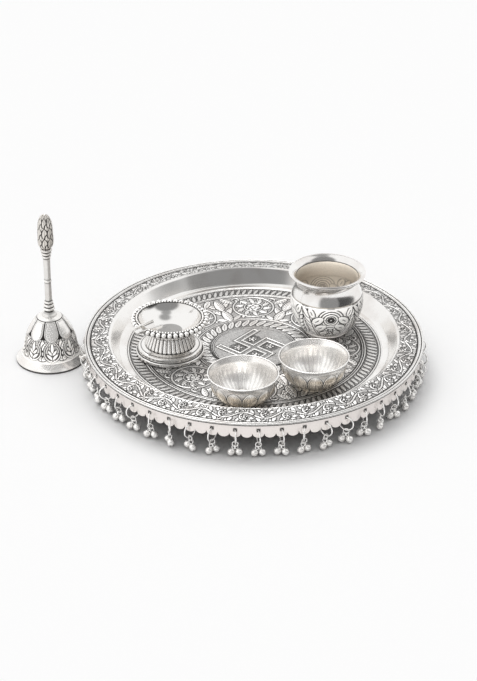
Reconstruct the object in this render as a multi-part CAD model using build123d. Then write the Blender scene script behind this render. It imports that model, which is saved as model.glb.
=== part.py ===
from build123d import *
import os
from math import cos, hypot, pi, radians, sin, sqrt

# Puja thali set, in millimetres. +Z is up, the origin is on the table under the
# tray's axis, and the front of the tray faces -Y.

# Tray plate: one spun sheet
PLATE_R = 140.0          # outer edge
RIM_W = 21.0             # from the edge to where the rim turns down into the wall
RIM_INNER_R = PLATE_R - RIM_W
WALL_RUN = 8.0           # how far the wall leans
FLOOR_R = RIM_INNER_R - WALL_RUN
FLOOR_Z = 20.0           # top of the floor
WALL_H = 14.5
RIM_TOP_Z = FLOOR_Z + WALL_H
RIM_FALL = 4.9           # from the highest line of the rim to the land along the edge
LAND_Z = RIM_TOP_Z - RIM_FALL
LAND_W = 4.6             # width of that land
SHEET = 1.0
WALL_BEND_R = 3.5        # inside radii of the sheet's three bends
RIM_BEND_R = 2.0
LAND_BEND_R = 3.0
EDGE_BEAD_R = 0.9        # two half-round beads on the land
EDGE_BEAD_PITCH = 2.1

# Foot ring under the floor
FOOT_INSET = 25.0        # from the end of the floor to the standing face
FOOT_R = FLOOR_R - FOOT_INSET
FOOT_SHEET = 1.2
FOOT_FLARE = 3.0         # how much wider the ring is below than above
FOOT_FLANGE_W = 7.0      # soldered flange against the floor
FOOT_BEAD_W = 4.0        # standing face
FOOT_BEAD_H = 2.5

# Scalloped skirt under the rim, pierced for the fringe
SKIRT_INSET = 2.0        # from the edge to the middle of the sheet
SKIRT_R = PLATE_R - SKIRT_INSET
SKIRT_SHEET = 0.8
SKIRT_H = 11.0
DROPS = 48
LOBES_PER_DROP = 2
LOBE_DEPTH = 3.4
LOBE_DIP = 0.08          # leaves a narrow flat on each lobe
FIRST_DROP_DEG = 1.1     # first hole, to the right of the front
HOLE_R = 1.15
HOLE_BELOW_TOP = 4.5

# One fringe drop: a jump ring, a link and two slit ghungroos
RING_R = 5.8             # to the middle of the wire
RING_WIRE_R = 0.575
LINK_R = 2.3
LINK_WIRE_R = 0.4
LOOP_R = 1.6
LOOP_WIRE_R = 0.35
CHAIN_GAP = 0.2          # air between linked wires
HOLE_GAP = 0.25          # air between the ring and the lower edge of its hole
SPLAY_DEG = 24.0
GHUNGROO_R = 2.9
GHUNGROO_SINK = 0.25     # how far the loop is let into the ball
WIRE_SIDES = 6           # small wires and balls are turned from polygons
BALL_BANDS = 6
SLIT_W = 0.7
SLIT_DEPTH = 1.9

# Vessels: shared sheet
VESSEL_SHEET = 0.9
VESSEL_FOOT_W = 1.6      # width of a standing foot

# Kalash
KALASH_DEG = 28.4        # direction from the tray's axis
KALASH_WALL_GAP = 11.1   # from the belly to the end of the floor
KALASH_H = 54.4
KALASH_FOOT_R = 19.4
KALASH_FOOT_H = 1.8
KALASH_BELLY_R = 30.5
KALASH_BELLY_Z = 0.52 * KALASH_H
KALASH_NECK_R = 26.0
KALASH_NECK_Z = 0.85 * KALASH_H
KALASH_LIP_R = 32.2
KALASH_LIP_BEAD_R = 0.8

# Katori bowls with petal-fluted bodies
KATORI_R = 28.5
KATORI_H = 26.0
KATORI_FOOT_R = 14.0
KATORI_LIP_R = 0.6
KATORI_PETALS = 12
KATORI_PETAL_BULGE = 1.2
KATORI_FRONT_DEG = -96.0      # direction of the front bowl from the tray's axis
KATORI_OVERHANG = 5.0         # its rim stands this far over the wall
KATORI_PAIR_DEG = 25.5        # direction from the front bowl to the right one
KATORI_PAIR_GAP = 5.7
# height share, share of the way from foot to rim, share of the petal bulge
KATORI_STATIONS = (
    (0.00, 0.00, 0.0),
    (0.08, 0.04, 0.0),
    (0.28, 0.46, 0.8),
    (0.50, 0.75, 1.0),
    (0.70, 0.90, 0.5),
    (0.83, 0.95, 0.0),
    (1.00, 1.00, 0.0),
)

# Diya: lamp bowl on a ribbed stem and a stepped base
DIYA_DEG = 186.6
DIYA_WALL_GAP = 9.5      # from the rim to the end of the floor
DIYA_BASE_R = 28.2
DIYA_BASE_STEP_R = 26.4
DIYA_BASE_STEP_H = 3.4
DIYA_BASE_H = 8.6
DIYA_STEM_R = 20.6       # ribbed stem, where it stands on the base
DIYA_WAIST_R = 16.5      # and where the bowl begins
DIYA_WAIST_Z = 19.0
DIYA_H = 33.0
DIYA_RIM_R = 32.0
DIYA_RIM_T = 4.4
DIYA_SHOULDER_R = DIYA_RIM_R - 3.0
DIYA_MOUTH_R = DIYA_RIM_R - 6.0
DIYA_RIBS = 34
DIYA_RIB_BULGE = 0.9
DIYA_WELL_R = 10.0
DIYA_WELL_DEPTH = 12.5
DIYA_SPOUT_DEG = 222.0
DIYA_SPOUT_OUT = 3.0     # how far the spout passes the rim
DIYA_SPOUT_R = 6.6       # half width of the trough at the bowl
DIYA_SPOUT_TIP_R = 4.0   # half width of the trough at its tip
DIYA_SPOUT_SHEET = 1.1

# Hand bell
BELL_DEG = 174.0         # direction from the tray's axis
BELL_GAP = 3.6           # from the skirt's middle line to the lip, clear of the fringe
BELL_MOUTH_R = 29.4
BELL_LIP_H = 1.6
BELL_WAIST_R = 22.2
BELL_WAIST_Z = 14.0
BELL_SHOULDER_R = 17.3
BELL_SHOULDER_Z = 30.0
BELL_CROWN_R = 6.4
BELL_CUP_H = 41.0
BELL_WALL = 1.6
BELL_H = 133.0
STUD_R = 2.0
STUD_CLEARANCE = 0.1
HANDLE_R = 2.9
HANDLE_FOOT_R = 6.2
HANDLE_FOOT_H = 4.5
COLLAR_WIRE_R = 1.2
COLLAR_STEP = 3.0
LOWER_COLLARS = (4.9, 4.4, 3.9)
UPPER_COLLARS = (3.9, 4.4, 4.9)
FINIAL_H = 30.5
FINIAL_R = 6.5
FINIAL_NECK_R = 3.4
FINIAL_TOP_R = 4.5
STAPLE_R = 3.6
STAPLE_H = 4.0
STAPLE_SOCKET = 3.0
EYE_R = 2.2
EYE_WIRE_R = 0.7
EYE_GAP = 0.2
CLAPPER_ROD_R = 1.2
CLAPPER_BALL_R = 5.0
CLAPPER_BALL_Z = 10.5


def moved_left(points, directions, shift):
    """Points moved by a shift to the left of the direction given at each."""
    moved = []
    for (r, z), (dr, dz) in zip(points, directions):
        run = hypot(dr, dz)
        moved.append((r - shift * dz / run, z + shift * dr / run))
    return moved


def smooth_line(points, directions):
    """Smooth spans from point to point, with a set direction at each."""
    spans = []
    for i in range(len(points) - 1):
        spans.append(Spline(points[i], points[i + 1], tangents=directions[i:i + 2]))
    return spans


def beside(points, gap):
    """The polyline that runs at a fixed gap to the right of another."""
    normals = []
    for (r0, z0), (r1, z1) in zip(points, points[1:]):
        run = hypot(r1 - r0, z1 - z0)
        normals.append(((z1 - z0) / run, (r0 - r1) / run))
    result = []
    for i, (r, z) in enumerate(points):
        n0 = normals[max(i - 1, 0)]
        n1 = normals[min(i, len(normals) - 1)]
        mitre = gap / (1 + n0[0] * n1[0] + n0[1] * n1[1])
        result.append((r + mitre * (n0[0] + n1[0]), z + mitre * (n0[1] + n1[1])))
    return result


def spun(section):
    """A solid of revolution about Z from a section drawn as radius and height."""
    return revolve(Plane.XZ * section, Axis.Z)


def wire_ring(radius, wire_r):
    """A ring of wire about Z."""
    return spun(Pos(radius, 0) * RegularPolygon(wire_r, WIRE_SIDES))


def small_ball(radius):
    """A turned ball about Z with a few flat bands."""
    points = []
    for k in range(BALL_BANDS + 1):
        angle = pi * k / BALL_BANDS
        points.append((radius * sin(angle), -radius * cos(angle)))
    return spun(make_face(Polyline(*points, close=True)))


def lobed_section(radius, bulge, lobes, z):
    """A closed ring of equal arcs that swell by a bulge between their ends."""
    step = 2 * pi / lobes
    arcs = []
    for k in range(lobes):
        start = (radius * cos(k * step), radius * sin(k * step), z)
        middle = ((radius + bulge) * cos((k + 0.5) * step), (radius + bulge) * sin((k + 0.5) * step), z)
        end = (radius * cos((k + 1) * step), radius * sin((k + 1) * step), z)
        arcs.append(ThreePointArc(start, middle, end))
    return Face(Wire(arcs))


def polar(distance, angle_deg):
    return (distance * cos(radians(angle_deg)), distance * sin(radians(angle_deg)))


def make_plate():
    top = [
        (0, FLOOR_Z),
        (FLOOR_R, FLOOR_Z),
        (RIM_INNER_R, RIM_TOP_Z),
        (PLATE_R - LAND_W, LAND_Z),
        (PLATE_R, LAND_Z),
    ]
    under = beside(top, SHEET)
    top_bends = [WALL_BEND_R, RIM_BEND_R + SHEET, LAND_BEND_R]
    under_bends = [WALL_BEND_R + SHEET, RIM_BEND_R, LAND_BEND_R + SHEET]
    section = make_face(
        [
            *FilletPolyline(*top, radius=top_bends).edges(),
            Line(top[-1], under[-1]),
            *FilletPolyline(*under, radius=under_bends).edges(),
            Line(under[0], top[0]),
        ]
    )
    for row in range(2):
        bead_r = PLATE_R - EDGE_BEAD_R - row * EDGE_BEAD_PITCH
        section += Pos(bead_r, LAND_Z) * Circle(EDGE_BEAD_R)
    return spun(section)


def make_foot_ring():
    top_z = FLOOR_Z - SHEET
    top_r = FOOT_R - FOOT_FLARE
    flange_z = top_z - FOOT_SHEET
    section = make_face(
        Polyline(
            (top_r - FOOT_FLANGE_W, top_z),
            (top_r, top_z),
            (FOOT_R - FOOT_BEAD_W + FOOT_SHEET, FOOT_BEAD_H),
            (FOOT_R, FOOT_BEAD_H),
            (FOOT_R, 0),
            (FOOT_R - FOOT_BEAD_W, 0),
            (FOOT_R - FOOT_BEAD_W, FOOT_BEAD_H),
            (top_r - FOOT_SHEET, flange_z),
            (top_r - FOOT_FLANGE_W, flange_z),
            close=True,
        )
    )
    return spun(section)


def make_skirt():
    top_z = LAND_Z - SHEET
    bottom_z = top_z - SKIRT_H
    outer = SKIRT_R + SKIRT_SHEET / 2
    inner = SKIRT_R - SKIRT_SHEET / 2
    band = Pos(0, 0, bottom_z) * extrude(Circle(outer) - Circle(inner), SKIRT_H)

    # A cutter takes out the cusp between two round lobes.
    lobes = DROPS * LOBES_PER_DROP
    half = pi * SKIRT_R / lobes
    depth = LOBE_DEPTH + LOBE_DIP
    lobe_r = (half**2 + depth**2) / (2 * depth)
    flat = sqrt(lobe_r**2 - (lobe_r - LOBE_DIP) ** 2)
    middle_x = (half - flat) / 2
    middle_z = lobe_r - LOBE_DIP - sqrt(lobe_r**2 - (half - middle_x) ** 2)
    side = half - flat
    cusp = make_face(
        [
            ThreePointArc((-side, 0), (-middle_x, middle_z), (0, LOBE_DEPTH)),
            ThreePointArc((0, LOBE_DEPTH), (middle_x, middle_z), (side, 0)),
            Line((side, 0), (side, -SKIRT_SHEET)),
            Line((side, -SKIRT_SHEET), (-side, -SKIRT_SHEET)),
            Line((-side, -SKIRT_SHEET), (-side, 0)),
        ]
    )
    through = 4 * SKIRT_SHEET
    front = Plane((0, -SKIRT_R, bottom_z), x_dir=(1, 0, 0), z_dir=(0, -1, 0))
    cutter = extrude(front * cusp, through, both=True)
    hole = extrude(front * Pos(0, SKIRT_H - HOLE_BELOW_TOP) * Circle(HOLE_R), through, both=True)

    cutters = []
    for k in range(lobes):
        cutters.append(Rot(0, 0, FIRST_DROP_DEG + (k + 0.5) * 360 / lobes) * cutter)
    for k in range(DROPS):
        cutters.append(Rot(0, 0, FIRST_DROP_DEG + k * 360 / DROPS) * hole)
    return band - cutters


def make_ghungroo():
    """A slit ball on its wire loop. The origin is the wire that it hangs on."""
    loop_z = -(LOOP_R - LOOP_WIRE_R - LINK_WIRE_R - CHAIN_GAP)
    ball_z = loop_z - LOOP_R - LOOP_WIRE_R + GHUNGROO_SINK - GHUNGROO_R
    loop = Pos(0, 0, loop_z) * Rot(0, 90, 0) * wire_ring(LOOP_R, LOOP_WIRE_R)
    ball = Pos(0, 0, ball_z) * small_ball(GHUNGROO_R)
    slit_z = ball_z - GHUNGROO_R
    slit = Pos(0, 0, slit_z) * Box(4 * GHUNGROO_R, SLIT_W, 2 * SLIT_DEPTH)
    return ball - slit + loop


def make_drop():
    """One drop at the front of the tray, at zero degrees."""
    hole_z = LAND_Z - SHEET - HOLE_BELOW_TOP
    wire_z = hole_z - HOLE_R + HOLE_GAP + RING_WIRE_R
    ring_z = wire_z - RING_R
    link_z = ring_z - RING_R - (LINK_R - LINK_WIRE_R - RING_WIRE_R - CHAIN_GAP)
    ring = Pos(0, -SKIRT_R, ring_z) * Rot(0, 90, 0) * wire_ring(RING_R, RING_WIRE_R)
    link = Pos(0, -SKIRT_R, link_z) * Rot(90, 0, 0) * wire_ring(LINK_R, LINK_WIRE_R)
    ghungroo = Pos(0, 0, -LINK_R) * make_ghungroo()
    pieces = [ring, link]
    for side in (-1, 1):
        pieces.append(Pos(0, -SKIRT_R, link_z) * Rot(0, side * SPLAY_DEG, 0) * ghungroo)
    solids = []
    for piece in pieces:
        solids += piece.solids()
    return Compound(solids)


def make_kalash():
    lip = (KALASH_LIP_R - KALASH_LIP_BEAD_R, KALASH_H - KALASH_LIP_BEAD_R)
    points = [
        (KALASH_FOOT_R, KALASH_FOOT_H),
        (KALASH_BELLY_R, KALASH_BELLY_Z),
        (KALASH_NECK_R, KALASH_NECK_Z),
        lip,
    ]
    directions = [(1.0, 0.9), (0, 1), (0, 1), (1.0, 0.4)]
    inside = moved_left(points, directions, VESSEL_SHEET)
    floor_z = inside[0][1]
    section = make_face(
        [
            *smooth_line(points, directions),
            Line(points[-1], inside[-1]),
            *smooth_line(inside, directions),
            *Polyline(
                inside[0],
                (0, floor_z),
                (0, floor_z - VESSEL_SHEET),
                (KALASH_FOOT_R - VESSEL_FOOT_W, floor_z - VESSEL_SHEET),
                (KALASH_FOOT_R - VESSEL_FOOT_W, 0),
                (KALASH_FOOT_R, 0),
                points[0],
            ).edges(),
        ]
    )
    section += Pos(*lip) * Circle(KALASH_LIP_BEAD_R)
    return spun(section)


def make_katori():
    outer = []
    inner = []
    wall = VESSEL_SHEET
    for height, spread, bulge in KATORI_STATIONS:
        radius = KATORI_FOOT_R + spread * (KATORI_R - KATORI_LIP_R - KATORI_FOOT_R)
        z = height * (KATORI_H - KATORI_LIP_R)
        swell = bulge * KATORI_PETAL_BULGE
        outer.append(lobed_section(radius, swell, KATORI_PETALS, z))
        inner.append(lobed_section(radius - wall, swell, KATORI_PETALS, z + wall))
    bowl = loft(outer) - loft(inner)
    lip = Pos(0, 0, KATORI_H - KATORI_LIP_R) * Torus(KATORI_R - KATORI_LIP_R, KATORI_LIP_R)
    return bowl + lip


def make_diya_base():
    section = make_face(
        Polyline(
            (0, 0),
            (DIYA_BASE_R, 0),
            (DIYA_BASE_R, DIYA_BASE_STEP_H),
            (DIYA_BASE_STEP_R, DIYA_BASE_STEP_H),
            (DIYA_BASE_STEP_R, 2 * DIYA_BASE_STEP_H),
            (DIYA_STEM_R + DIYA_RIB_BULGE, DIYA_BASE_H),
            (0, DIYA_BASE_H),
            close=True,
        )
    )
    return spun(section)


def make_diya_bowl():
    low = (Align.CENTER, Align.CENTER, Align.MIN)
    rim_z = DIYA_H - DIYA_RIM_T
    foot = lobed_section(DIYA_STEM_R, DIYA_RIB_BULGE, DIYA_RIBS, DIYA_BASE_H)
    waist = lobed_section(DIYA_WAIST_R, DIYA_RIB_BULGE, DIYA_RIBS, DIYA_WAIST_Z)
    stem = loft([foot, waist], ruled=True)
    under = Pos(0, 0, DIYA_WAIST_Z) * Cone(DIYA_WAIST_R, DIYA_SHOULDER_R, rim_z - DIYA_WAIST_Z, align=low)
    half_rim = DIYA_RIM_T / 2
    rim_mid = DIYA_RIM_R - half_rim
    rim = Pos(0, 0, rim_z) * Cylinder(rim_mid, DIYA_RIM_T, align=low)
    bead = Pos(0, 0, rim_z + half_rim) * Torus(rim_mid, half_rim)

    # The spout is half a hollow cone that points away from the bowl.
    reach = DIYA_RIM_R + DIYA_SPOUT_OUT - DIYA_MOUTH_R / 2
    along = Plane((DIYA_MOUTH_R / 2, 0, DIYA_H), x_dir=(0, 1, 0), z_dir=(1, 0, 0))
    trough = along * Cone(DIYA_SPOUT_R, DIYA_SPOUT_TIP_R, reach, align=low)
    channel = along * Cone(
        DIYA_SPOUT_R - DIYA_SPOUT_SHEET, DIYA_SPOUT_TIP_R - DIYA_SPOUT_SHEET, reach, align=low
    )
    above = Pos(0, 0, DIYA_H) * Box(4 * DIYA_RIM_R, 4 * DIYA_RIM_R, DIYA_H, align=low)

    well_z = DIYA_H - DIYA_WELL_DEPTH
    well = make_face(
        [
            *smooth_line([(DIYA_WELL_R, well_z), (DIYA_MOUTH_R, DIYA_H)], [(1, 0.25), (0.35, 1)]),
            *Polyline((DIYA_MOUTH_R, DIYA_H), (0, DIYA_H), (0, well_z), (DIYA_WELL_R, well_z)).edges(),
        ]
    )
    turn = Rot(0, 0, DIYA_SPOUT_DEG)
    return stem + under + rim + bead + turn * (trough - above) - spun(well) - turn * channel


def make_bell_cup():
    points = [
        (BELL_MOUTH_R, BELL_LIP_H),
        (BELL_WAIST_R, BELL_WAIST_Z),
        (BELL_SHOULDER_R, BELL_SHOULDER_Z),
        (BELL_CROWN_R, BELL_CUP_H),
    ]
    directions = [(-1.0, 0.7), (-0.15, 1.0), (-0.6, 1.0), (-1.0, 0.0)]
    inside = moved_left(points, directions, BELL_WALL)
    bore_r = STUD_R + STUD_CLEARANCE
    section = make_face(
        [
            *smooth_line(points, directions),
            *Polyline(
                points[-1],
                (bore_r, BELL_CUP_H),
                (bore_r, BELL_CUP_H - BELL_WALL),
                inside[-1],
            ).edges(),
            *smooth_line(inside, directions),
            *Polyline(inside[0], (BELL_MOUTH_R - BELL_WALL, 0), (BELL_MOUTH_R, 0), points[0]).edges(),
        ]
    )
    return spun(section)


def make_bell_handle():
    low = (Align.CENTER, Align.CENTER, Align.MIN)
    finial_z = BELL_H - FINIAL_H
    foot = Pos(0, 0, BELL_CUP_H) * Cone(HANDLE_FOOT_R, HANDLE_R, HANDLE_FOOT_H, align=low)
    shaft = Pos(0, 0, BELL_CUP_H) * Cylinder(HANDLE_R, finial_z - BELL_CUP_H, align=low)
    stud_z = BELL_CUP_H - BELL_WALL - STAPLE_SOCKET
    stud = Pos(0, 0, stud_z) * Cylinder(STUD_R, BELL_CUP_H - stud_z, align=low)
    handle = foot + shaft + stud
    for k, radius in enumerate(LOWER_COLLARS):
        z = BELL_CUP_H + HANDLE_FOOT_H + (k + 0.5) * COLLAR_STEP
        handle += Pos(0, 0, z) * Torus(radius - COLLAR_WIRE_R, COLLAR_WIRE_R)
    for k, radius in enumerate(UPPER_COLLARS):
        z = finial_z - (len(UPPER_COLLARS) - k - 0.5) * COLLAR_STEP
        handle += Pos(0, 0, z) * Torus(radius - COLLAR_WIRE_R, COLLAR_WIRE_R)

    points = [
        (FINIAL_NECK_R, finial_z),
        (FINIAL_R, finial_z + 0.3 * FINIAL_H),
        (FINIAL_TOP_R, finial_z + 0.72 * FINIAL_H),
        (0, BELL_H),
    ]
    directions = [(1.0, 0.6), (0, 1), (-0.1, 1), (-1, 0)]
    bud = make_face(
        [
            *smooth_line(points, directions),
            *Polyline((0, BELL_H), (0, finial_z), points[0]).edges(),
        ]
    )
    return handle + spun(bud)


def staple_eye_z():
    """Height of the middle of the staple's eye."""
    return BELL_CUP_H - BELL_WALL - STAPLE_H - EYE_R


def make_staple():
    high = (Align.CENTER, Align.CENTER, Align.MAX)
    top_z = BELL_CUP_H - BELL_WALL
    boss = Pos(0, 0, top_z) * Cylinder(STAPLE_R, STAPLE_H, align=high)
    socket_depth = STAPLE_SOCKET + STUD_CLEARANCE
    socket = Pos(0, 0, top_z) * Cylinder(STUD_R + STUD_CLEARANCE, socket_depth, align=high)
    eye = Pos(0, 0, staple_eye_z()) * Rot(0, 90, 0) * wire_ring(EYE_R, EYE_WIRE_R)
    return boss - socket + eye


def make_clapper():
    wire_z = staple_eye_z() - EYE_R
    eye_z = wire_z - (EYE_R - 2 * EYE_WIRE_R - EYE_GAP)
    eye = Pos(0, 0, eye_z) * Rot(90, 0, 0) * wire_ring(EYE_R, EYE_WIRE_R)
    rod_top = eye_z - EYE_R
    rod = Pos(0, 0, CLAPPER_BALL_Z) * Cylinder(
        CLAPPER_ROD_R, rod_top - CLAPPER_BALL_Z, align=(Align.CENTER, Align.CENTER, Align.MIN)
    )
    return rod + eye + Pos(0, 0, CLAPPER_BALL_Z) * Sphere(CLAPPER_BALL_R)


def save(name, shape):
    export_step(shape, f"parts/{name}.step")


os.makedirs("parts", exist_ok=True)

save("thali_plate", make_plate())
save("foot_ring", make_foot_ring())
save("rim_skirt", make_skirt())

drop = make_drop()
for k in range(DROPS):
    save(f"fringe_drop_{k + 1:02d}", Rot(0, 0, FIRST_DROP_DEG + k * 360 / DROPS) * drop)

kalash_at = polar(FLOOR_R - KALASH_WALL_GAP - KALASH_BELLY_R, KALASH_DEG)
save("kalash", Pos(*kalash_at, FLOOR_Z) * make_kalash())

katori = make_katori()
front_at = Vector(*polar(FLOOR_R - KATORI_R + KATORI_OVERHANG, KATORI_FRONT_DEG), FLOOR_Z)
right_at = front_at + Vector(*polar(2 * KATORI_R + KATORI_PAIR_GAP, KATORI_PAIR_DEG), 0)
save("katori_front", Pos(*front_at) * katori)
save("katori_right", Pos(*right_at) * katori)

diya_place = Pos(*polar(FLOOR_R - DIYA_WALL_GAP - DIYA_RIM_R, DIYA_DEG), FLOOR_Z)
save("diya_base", diya_place * make_diya_base())
save("diya_bowl", diya_place * make_diya_bowl())

bell_place = Pos(*polar(SKIRT_R + BELL_MOUTH_R + BELL_GAP, BELL_DEG), 0)
save("bell_cup", bell_place * make_bell_cup())
save("bell_handle", bell_place * make_bell_handle())
save("clapper_staple", bell_place * make_staple())
save("bell_clapper", bell_place * make_clapper())
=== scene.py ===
import math
from math import cos, pi, radians, sin

import bpy
import numpy as np
from mathutils import Matrix, Vector


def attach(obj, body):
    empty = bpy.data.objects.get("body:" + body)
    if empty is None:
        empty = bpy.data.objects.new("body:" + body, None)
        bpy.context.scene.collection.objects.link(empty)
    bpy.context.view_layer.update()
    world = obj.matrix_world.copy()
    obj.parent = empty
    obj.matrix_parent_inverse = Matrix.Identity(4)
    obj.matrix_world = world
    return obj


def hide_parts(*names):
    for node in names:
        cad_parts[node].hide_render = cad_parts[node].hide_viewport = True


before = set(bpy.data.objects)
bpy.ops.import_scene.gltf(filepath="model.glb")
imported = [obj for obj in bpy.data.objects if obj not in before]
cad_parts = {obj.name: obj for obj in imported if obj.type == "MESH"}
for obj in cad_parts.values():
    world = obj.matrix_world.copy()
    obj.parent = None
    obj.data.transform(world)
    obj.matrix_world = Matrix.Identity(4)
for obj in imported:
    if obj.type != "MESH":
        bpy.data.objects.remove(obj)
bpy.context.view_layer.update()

# Sizes in millimetres, as in the part's source unless a comment says otherwise
MM = 0.001
PLATE_R = 140.0
FLOOR_R = 111.0
FLOOR_Z = 20.0
RIM_INNER_R = 119.0
RIM_TOP_Z = 33.2         # 1.3 below the solid's
LAND_Z = 29.6
LAND_W = 4.6
SHEET = 1.0
UNDER_Z = LAND_Z - SHEET
SKIRT_R = 138.0
SKIRT_H = 11.0
DROPS = 48
FIRST_DROP_DEG = 1.1
VESSEL_SHEET = 0.9

# Chased work, with heights from 0 in a cut line to 1 on the raised work
CHASE_DEPTH = 0.55       # from the raised work down to the cut lines
EDGE_BEVEL = 0.45        # how softly raised work rises
OUTLINE = 0.58           # dark line left round each raised leaf
GROUND = 0.28            # height of the matted ground


def polar(distance, angle_deg):
    return distance * cos(radians(angle_deg)), distance * sin(radians(angle_deg))


KALASH_AT = (*polar(69.4, 28.4), FLOOR_Z)
DIYA_AT = (*polar(69.5, 186.6), FLOOR_Z)
BELL_AT = (*polar(171.0, 174.0), 0.0)
KATORI_FRONT_AT = (*polar(87.5, -96.0), FLOOR_Z)
KATORI_PAIR = (*polar(62.7, 25.5), 0.0)      # from the front katori to the right one
KATORI_RIGHT_AT = tuple(np.add(KATORI_FRONT_AT, KATORI_PAIR))


# Soft steps and lines, for shares and distances

def ease(t):
    """A soft step from 0 to 1."""
    t = np.clip(t, 0, 1)
    return t * t * (3 - 2 * t)


def ridge(away, width):
    """1 on a line, fading out softly on both sides."""
    return np.exp(-((away / width) ** 2))


def rounded(t, power=2):
    """A round end: 1 at 0, falling ever more steeply to 0 at 1."""
    return np.sqrt(np.clip(1 - t**power, 0, 1))


def across(repeats, cols_each):
    """Where each column round the axis lies across its repeat, from -0.5 to 0.5."""
    return (np.arange(repeats * cols_each) / cols_each) % 1 - 0.5


# Lines in a section, as radius and height

def span(t, start, leaving, end, arriving):
    """A smooth span from start to end, with its directions there."""
    return (
        (2 * t**3 - 3 * t**2 + 1) * start
        + (t**3 - 2 * t**2 + t) * leaving
        + (3 * t**2 - 2 * t**3) * end
        + (t**3 - t**2) * arriving
    )


def unit(vectors):
    vectors = np.array(vectors, float)
    return vectors / np.maximum(np.linalg.norm(vectors, axis=1)[:, None], 1e-9)


def smooth_line(points, directions, steps=24):
    """Smooth spans from point to point, with a set direction at each."""
    points, directions = np.array(points, float), unit(directions)
    t = np.linspace(0, 1, steps, endpoint=False)[:, None]
    spans = []
    for k in range(len(points) - 1):
        run = np.linalg.norm(points[k + 1] - points[k])
        spans.append(span(t, points[k], run * directions[k], points[k + 1], run * directions[k + 1]))
    return np.vstack([*spans, points[-1:]])


def arc(centre, radius, start_deg, end_deg, steps=12):
    turn = np.radians(np.linspace(start_deg, end_deg, steps + 1))
    return np.stack([centre[0] + radius * np.cos(turn), centre[1] + radius * np.sin(turn)], 1)


def bent(points, radii, steps=8):
    """A polyline whose inner corners are rounded."""
    points = [np.array(p, float) for p in points]
    result = [points[0]]
    for before, corner, after, radius in zip(points, points[1:], points[2:], radii):
        a, b = unit([before - corner, after - corner])
        back = radius / np.tan(0.5 * np.arccos(np.clip(a @ b, -1, 1)))
        start, end = corner + a * back, corner + b * back
        for t in np.linspace(0, 1, steps + 1):
            result.append((1 - t) ** 2 * start + 2 * t * (1 - t) * corner + t**2 * end)
    result.append(points[-1])
    return np.array(result)


def run_along(points):
    """Distance along a line from its start to each of its points."""
    return np.concatenate([[0], np.cumsum(np.linalg.norm(np.diff(points, axis=0), axis=1))])


def even(points, step):
    """The same line with points at an even spacing."""
    points = np.asarray(points, float)
    run = run_along(points)
    keep = np.concatenate([[True], np.diff(run) > 1e-9])
    count = max(2, int(round(run[-1] / step)) + 1)
    along = np.linspace(0, run[-1], count)
    return np.stack([np.interp(along, run[keep], points[keep, k]) for k in range(2)], 1)


def to_the_left(directions):
    run = unit(directions)
    return np.stack([-run[:, 1], run[:, 0]], 1)


# Meshes from grids of points

def swept(profile, angles, push=None):
    """A grid of points, the section set at angles about Z and pushed along its normals to the right."""
    r, z = profile[:, :1], profile[:, 1:]
    if push is not None:
        normal = -to_the_left(np.gradient(profile, axis=0))
        r = r + normal[:, :1] * push
        z = z + normal[:, 1:] * push
    return np.stack(np.broadcast_arrays(r * np.cos(angles), r * np.sin(angles), z + 0 * angles), 2)


def turned(profile, cols, push=None):
    """The section turned all the way about Z."""
    return swept(profile, np.arange(cols) * 2 * pi / cols, push)


def ring_grid(radius, wire, cols, rows):
    """A torus about Z."""
    return turned(arc((radius, 0), wire, -180, 180, rows), cols)


def spun_about(grid, axis, angle_deg):
    return grid @ np.array(Matrix.Rotation(radians(angle_deg), 3, axis)).T


def mark(mesh, **layers):
    """Store values at the points of a mesh, for its material."""
    for label, values in layers.items():
        layer = mesh.attributes.new(label, "FLOAT", "POINT")
        layer.data.foreach_set("value", np.asarray(values, np.float32))


def make_mesh(name, grids, worn=None, warm=None, closed=True, at=(0, 0, 0), turn_deg=0.0):
    """One mesh from grids of points in millimetres, with the worn and the warmth of each point."""
    points, faces, wear_and_shade_parts, warmth = [], [], [], []
    base = 0
    for k, grid in enumerate(grids):
        rows, cols = grid.shape[:2]
        index = base + np.arange(rows * cols).reshape(rows, cols)
        right = np.roll(index, -1, 1)
        quad = np.stack([index[:-1], right[:-1], right[1:], index[1:]], 2)
        if not closed:
            quad = quad[:, :-1]
        faces.append(quad.reshape(-1, 4))
        points.append(grid.reshape(-1, 3))
        for store, given, plain in ((wear_and_shade_parts, worn, 1.0), (warmth, warm, 0.0)):
            value = plain if given is None or given[k] is None else given[k]
            store.append(np.broadcast_to(value, (rows, cols)).reshape(-1))
        base += rows * cols
    points = (spun_about(np.concatenate(points), "Z", turn_deg) + at) * MM
    faces = np.concatenate(faces)
    mesh = bpy.data.meshes.new(name)
    mesh.vertices.add(len(points))
    mesh.vertices.foreach_set("co", points.ravel())
    mesh.loops.add(faces.size)
    mesh.loops.foreach_set("vertex_index", faces.ravel().astype(np.int32))
    mesh.polygons.add(len(faces))
    mesh.polygons.foreach_set("loop_start", np.arange(0, faces.size, 4, dtype=np.int32))
    mesh.update(calc_edges=True)
    mesh.shade_smooth()
    mark(mesh, worn=np.concatenate(wear_and_shade_parts), warm=np.concatenate(warmth))
    return mesh


def add_object(name, data):
    added = bpy.data.objects.new(name, data)
    bpy.context.scene.collection.objects.link(added)
    return added


def add_piece(mesh, body, nodes, material, name=None, place=None):
    """A piece that rides a body. It has its mesh's name unless it is given another."""
    piece = add_object(name or mesh.name, mesh)
    if place is not None:
        piece.matrix_world = place
    if not mesh.materials:
        mesh.materials.append(material)
    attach(piece, body)
    if nodes:
        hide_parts(*nodes)
    return piece


# Chased patterns

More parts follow.
